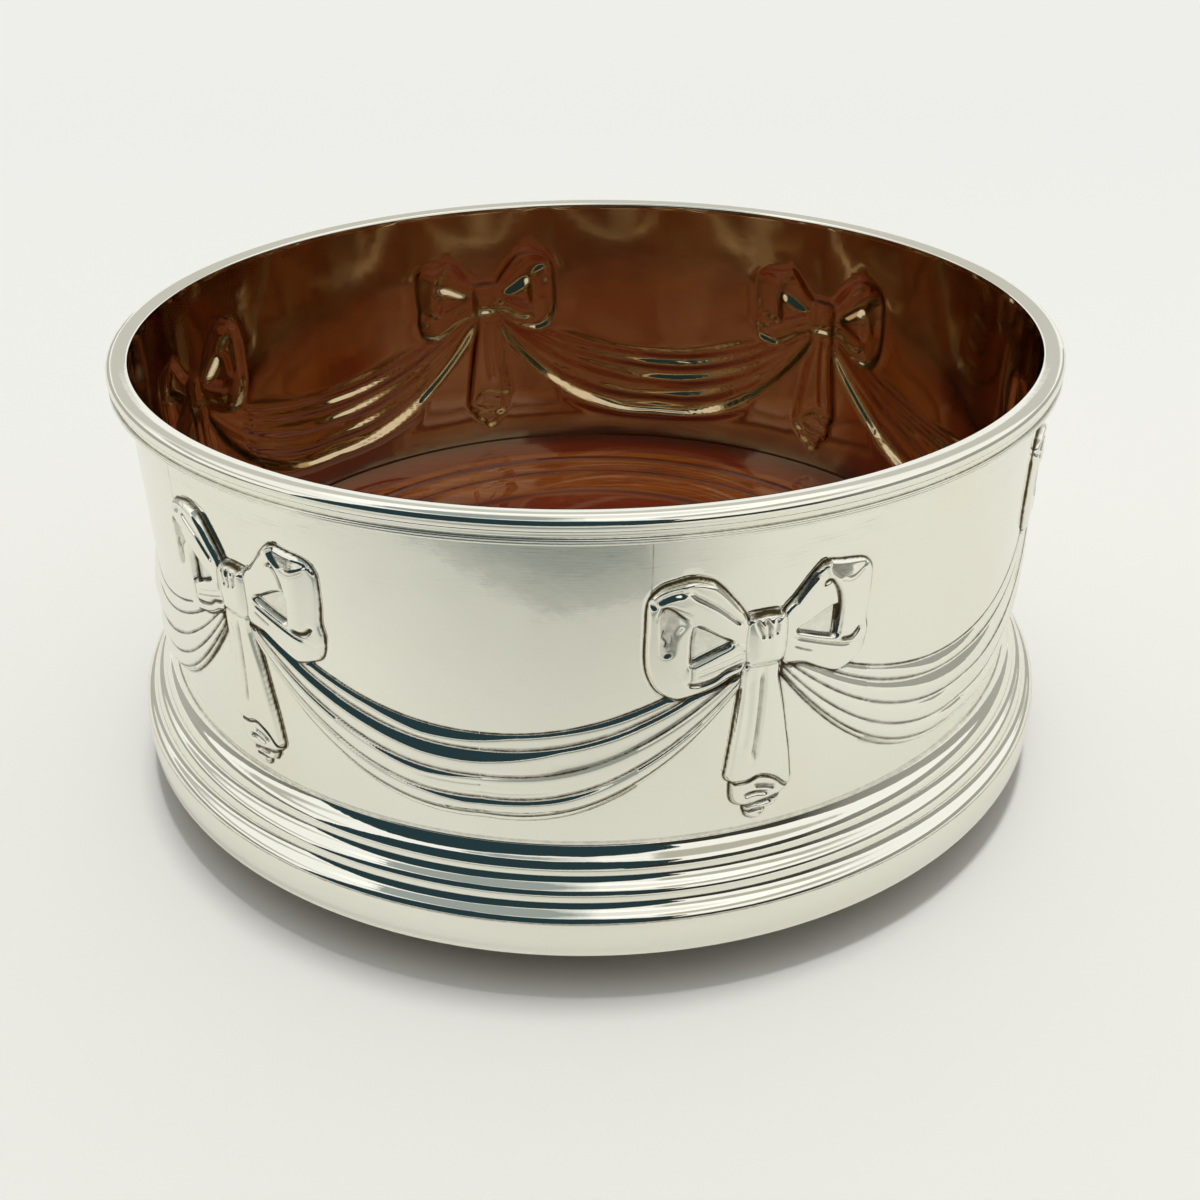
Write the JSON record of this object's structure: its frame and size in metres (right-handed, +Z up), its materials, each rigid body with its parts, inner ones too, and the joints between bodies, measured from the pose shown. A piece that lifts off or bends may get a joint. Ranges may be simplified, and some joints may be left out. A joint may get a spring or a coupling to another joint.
{
  "type": "wine bottle coaster",
  "caption": "Round bottle coaster: an embossed silver gallery with bows and swags, a rolled rim and a stepped foot, on a turned wooden base with a baize pad.",
  "frame": {"origin": "centre of the underside of the baize pad, on the table", "axes": "+Z up along the coaster's axis; -Y faces the viewer of the picture, +X to the viewer's right"},
  "size_m": [0.1304, 0.1304, 0.0592],
  "materials": {
    "silver_gallery": "polished embossed silver plate with dark tarnish in the hollows and fine polishing lines",
    "silver_mount": "polished silver plate, drawn and spun, with light wear",
    "turned_wood": "red-brown turned hardwood under a glossy lacquer, with turned lines",
    "brass_pin": "domed brass pin, dull",
    "baize": "dark green wool baize, matt and felted"
  },
  "bodies": {
    "root": {"gallery": "silver_gallery", "rim_moulding": "silver_mount", "reeded_foot": "silver_mount", "wood_base": "turned_wood", "base_pins": "brass_pin", "baize_pad": "baize"}
  },
  "joints": []
}
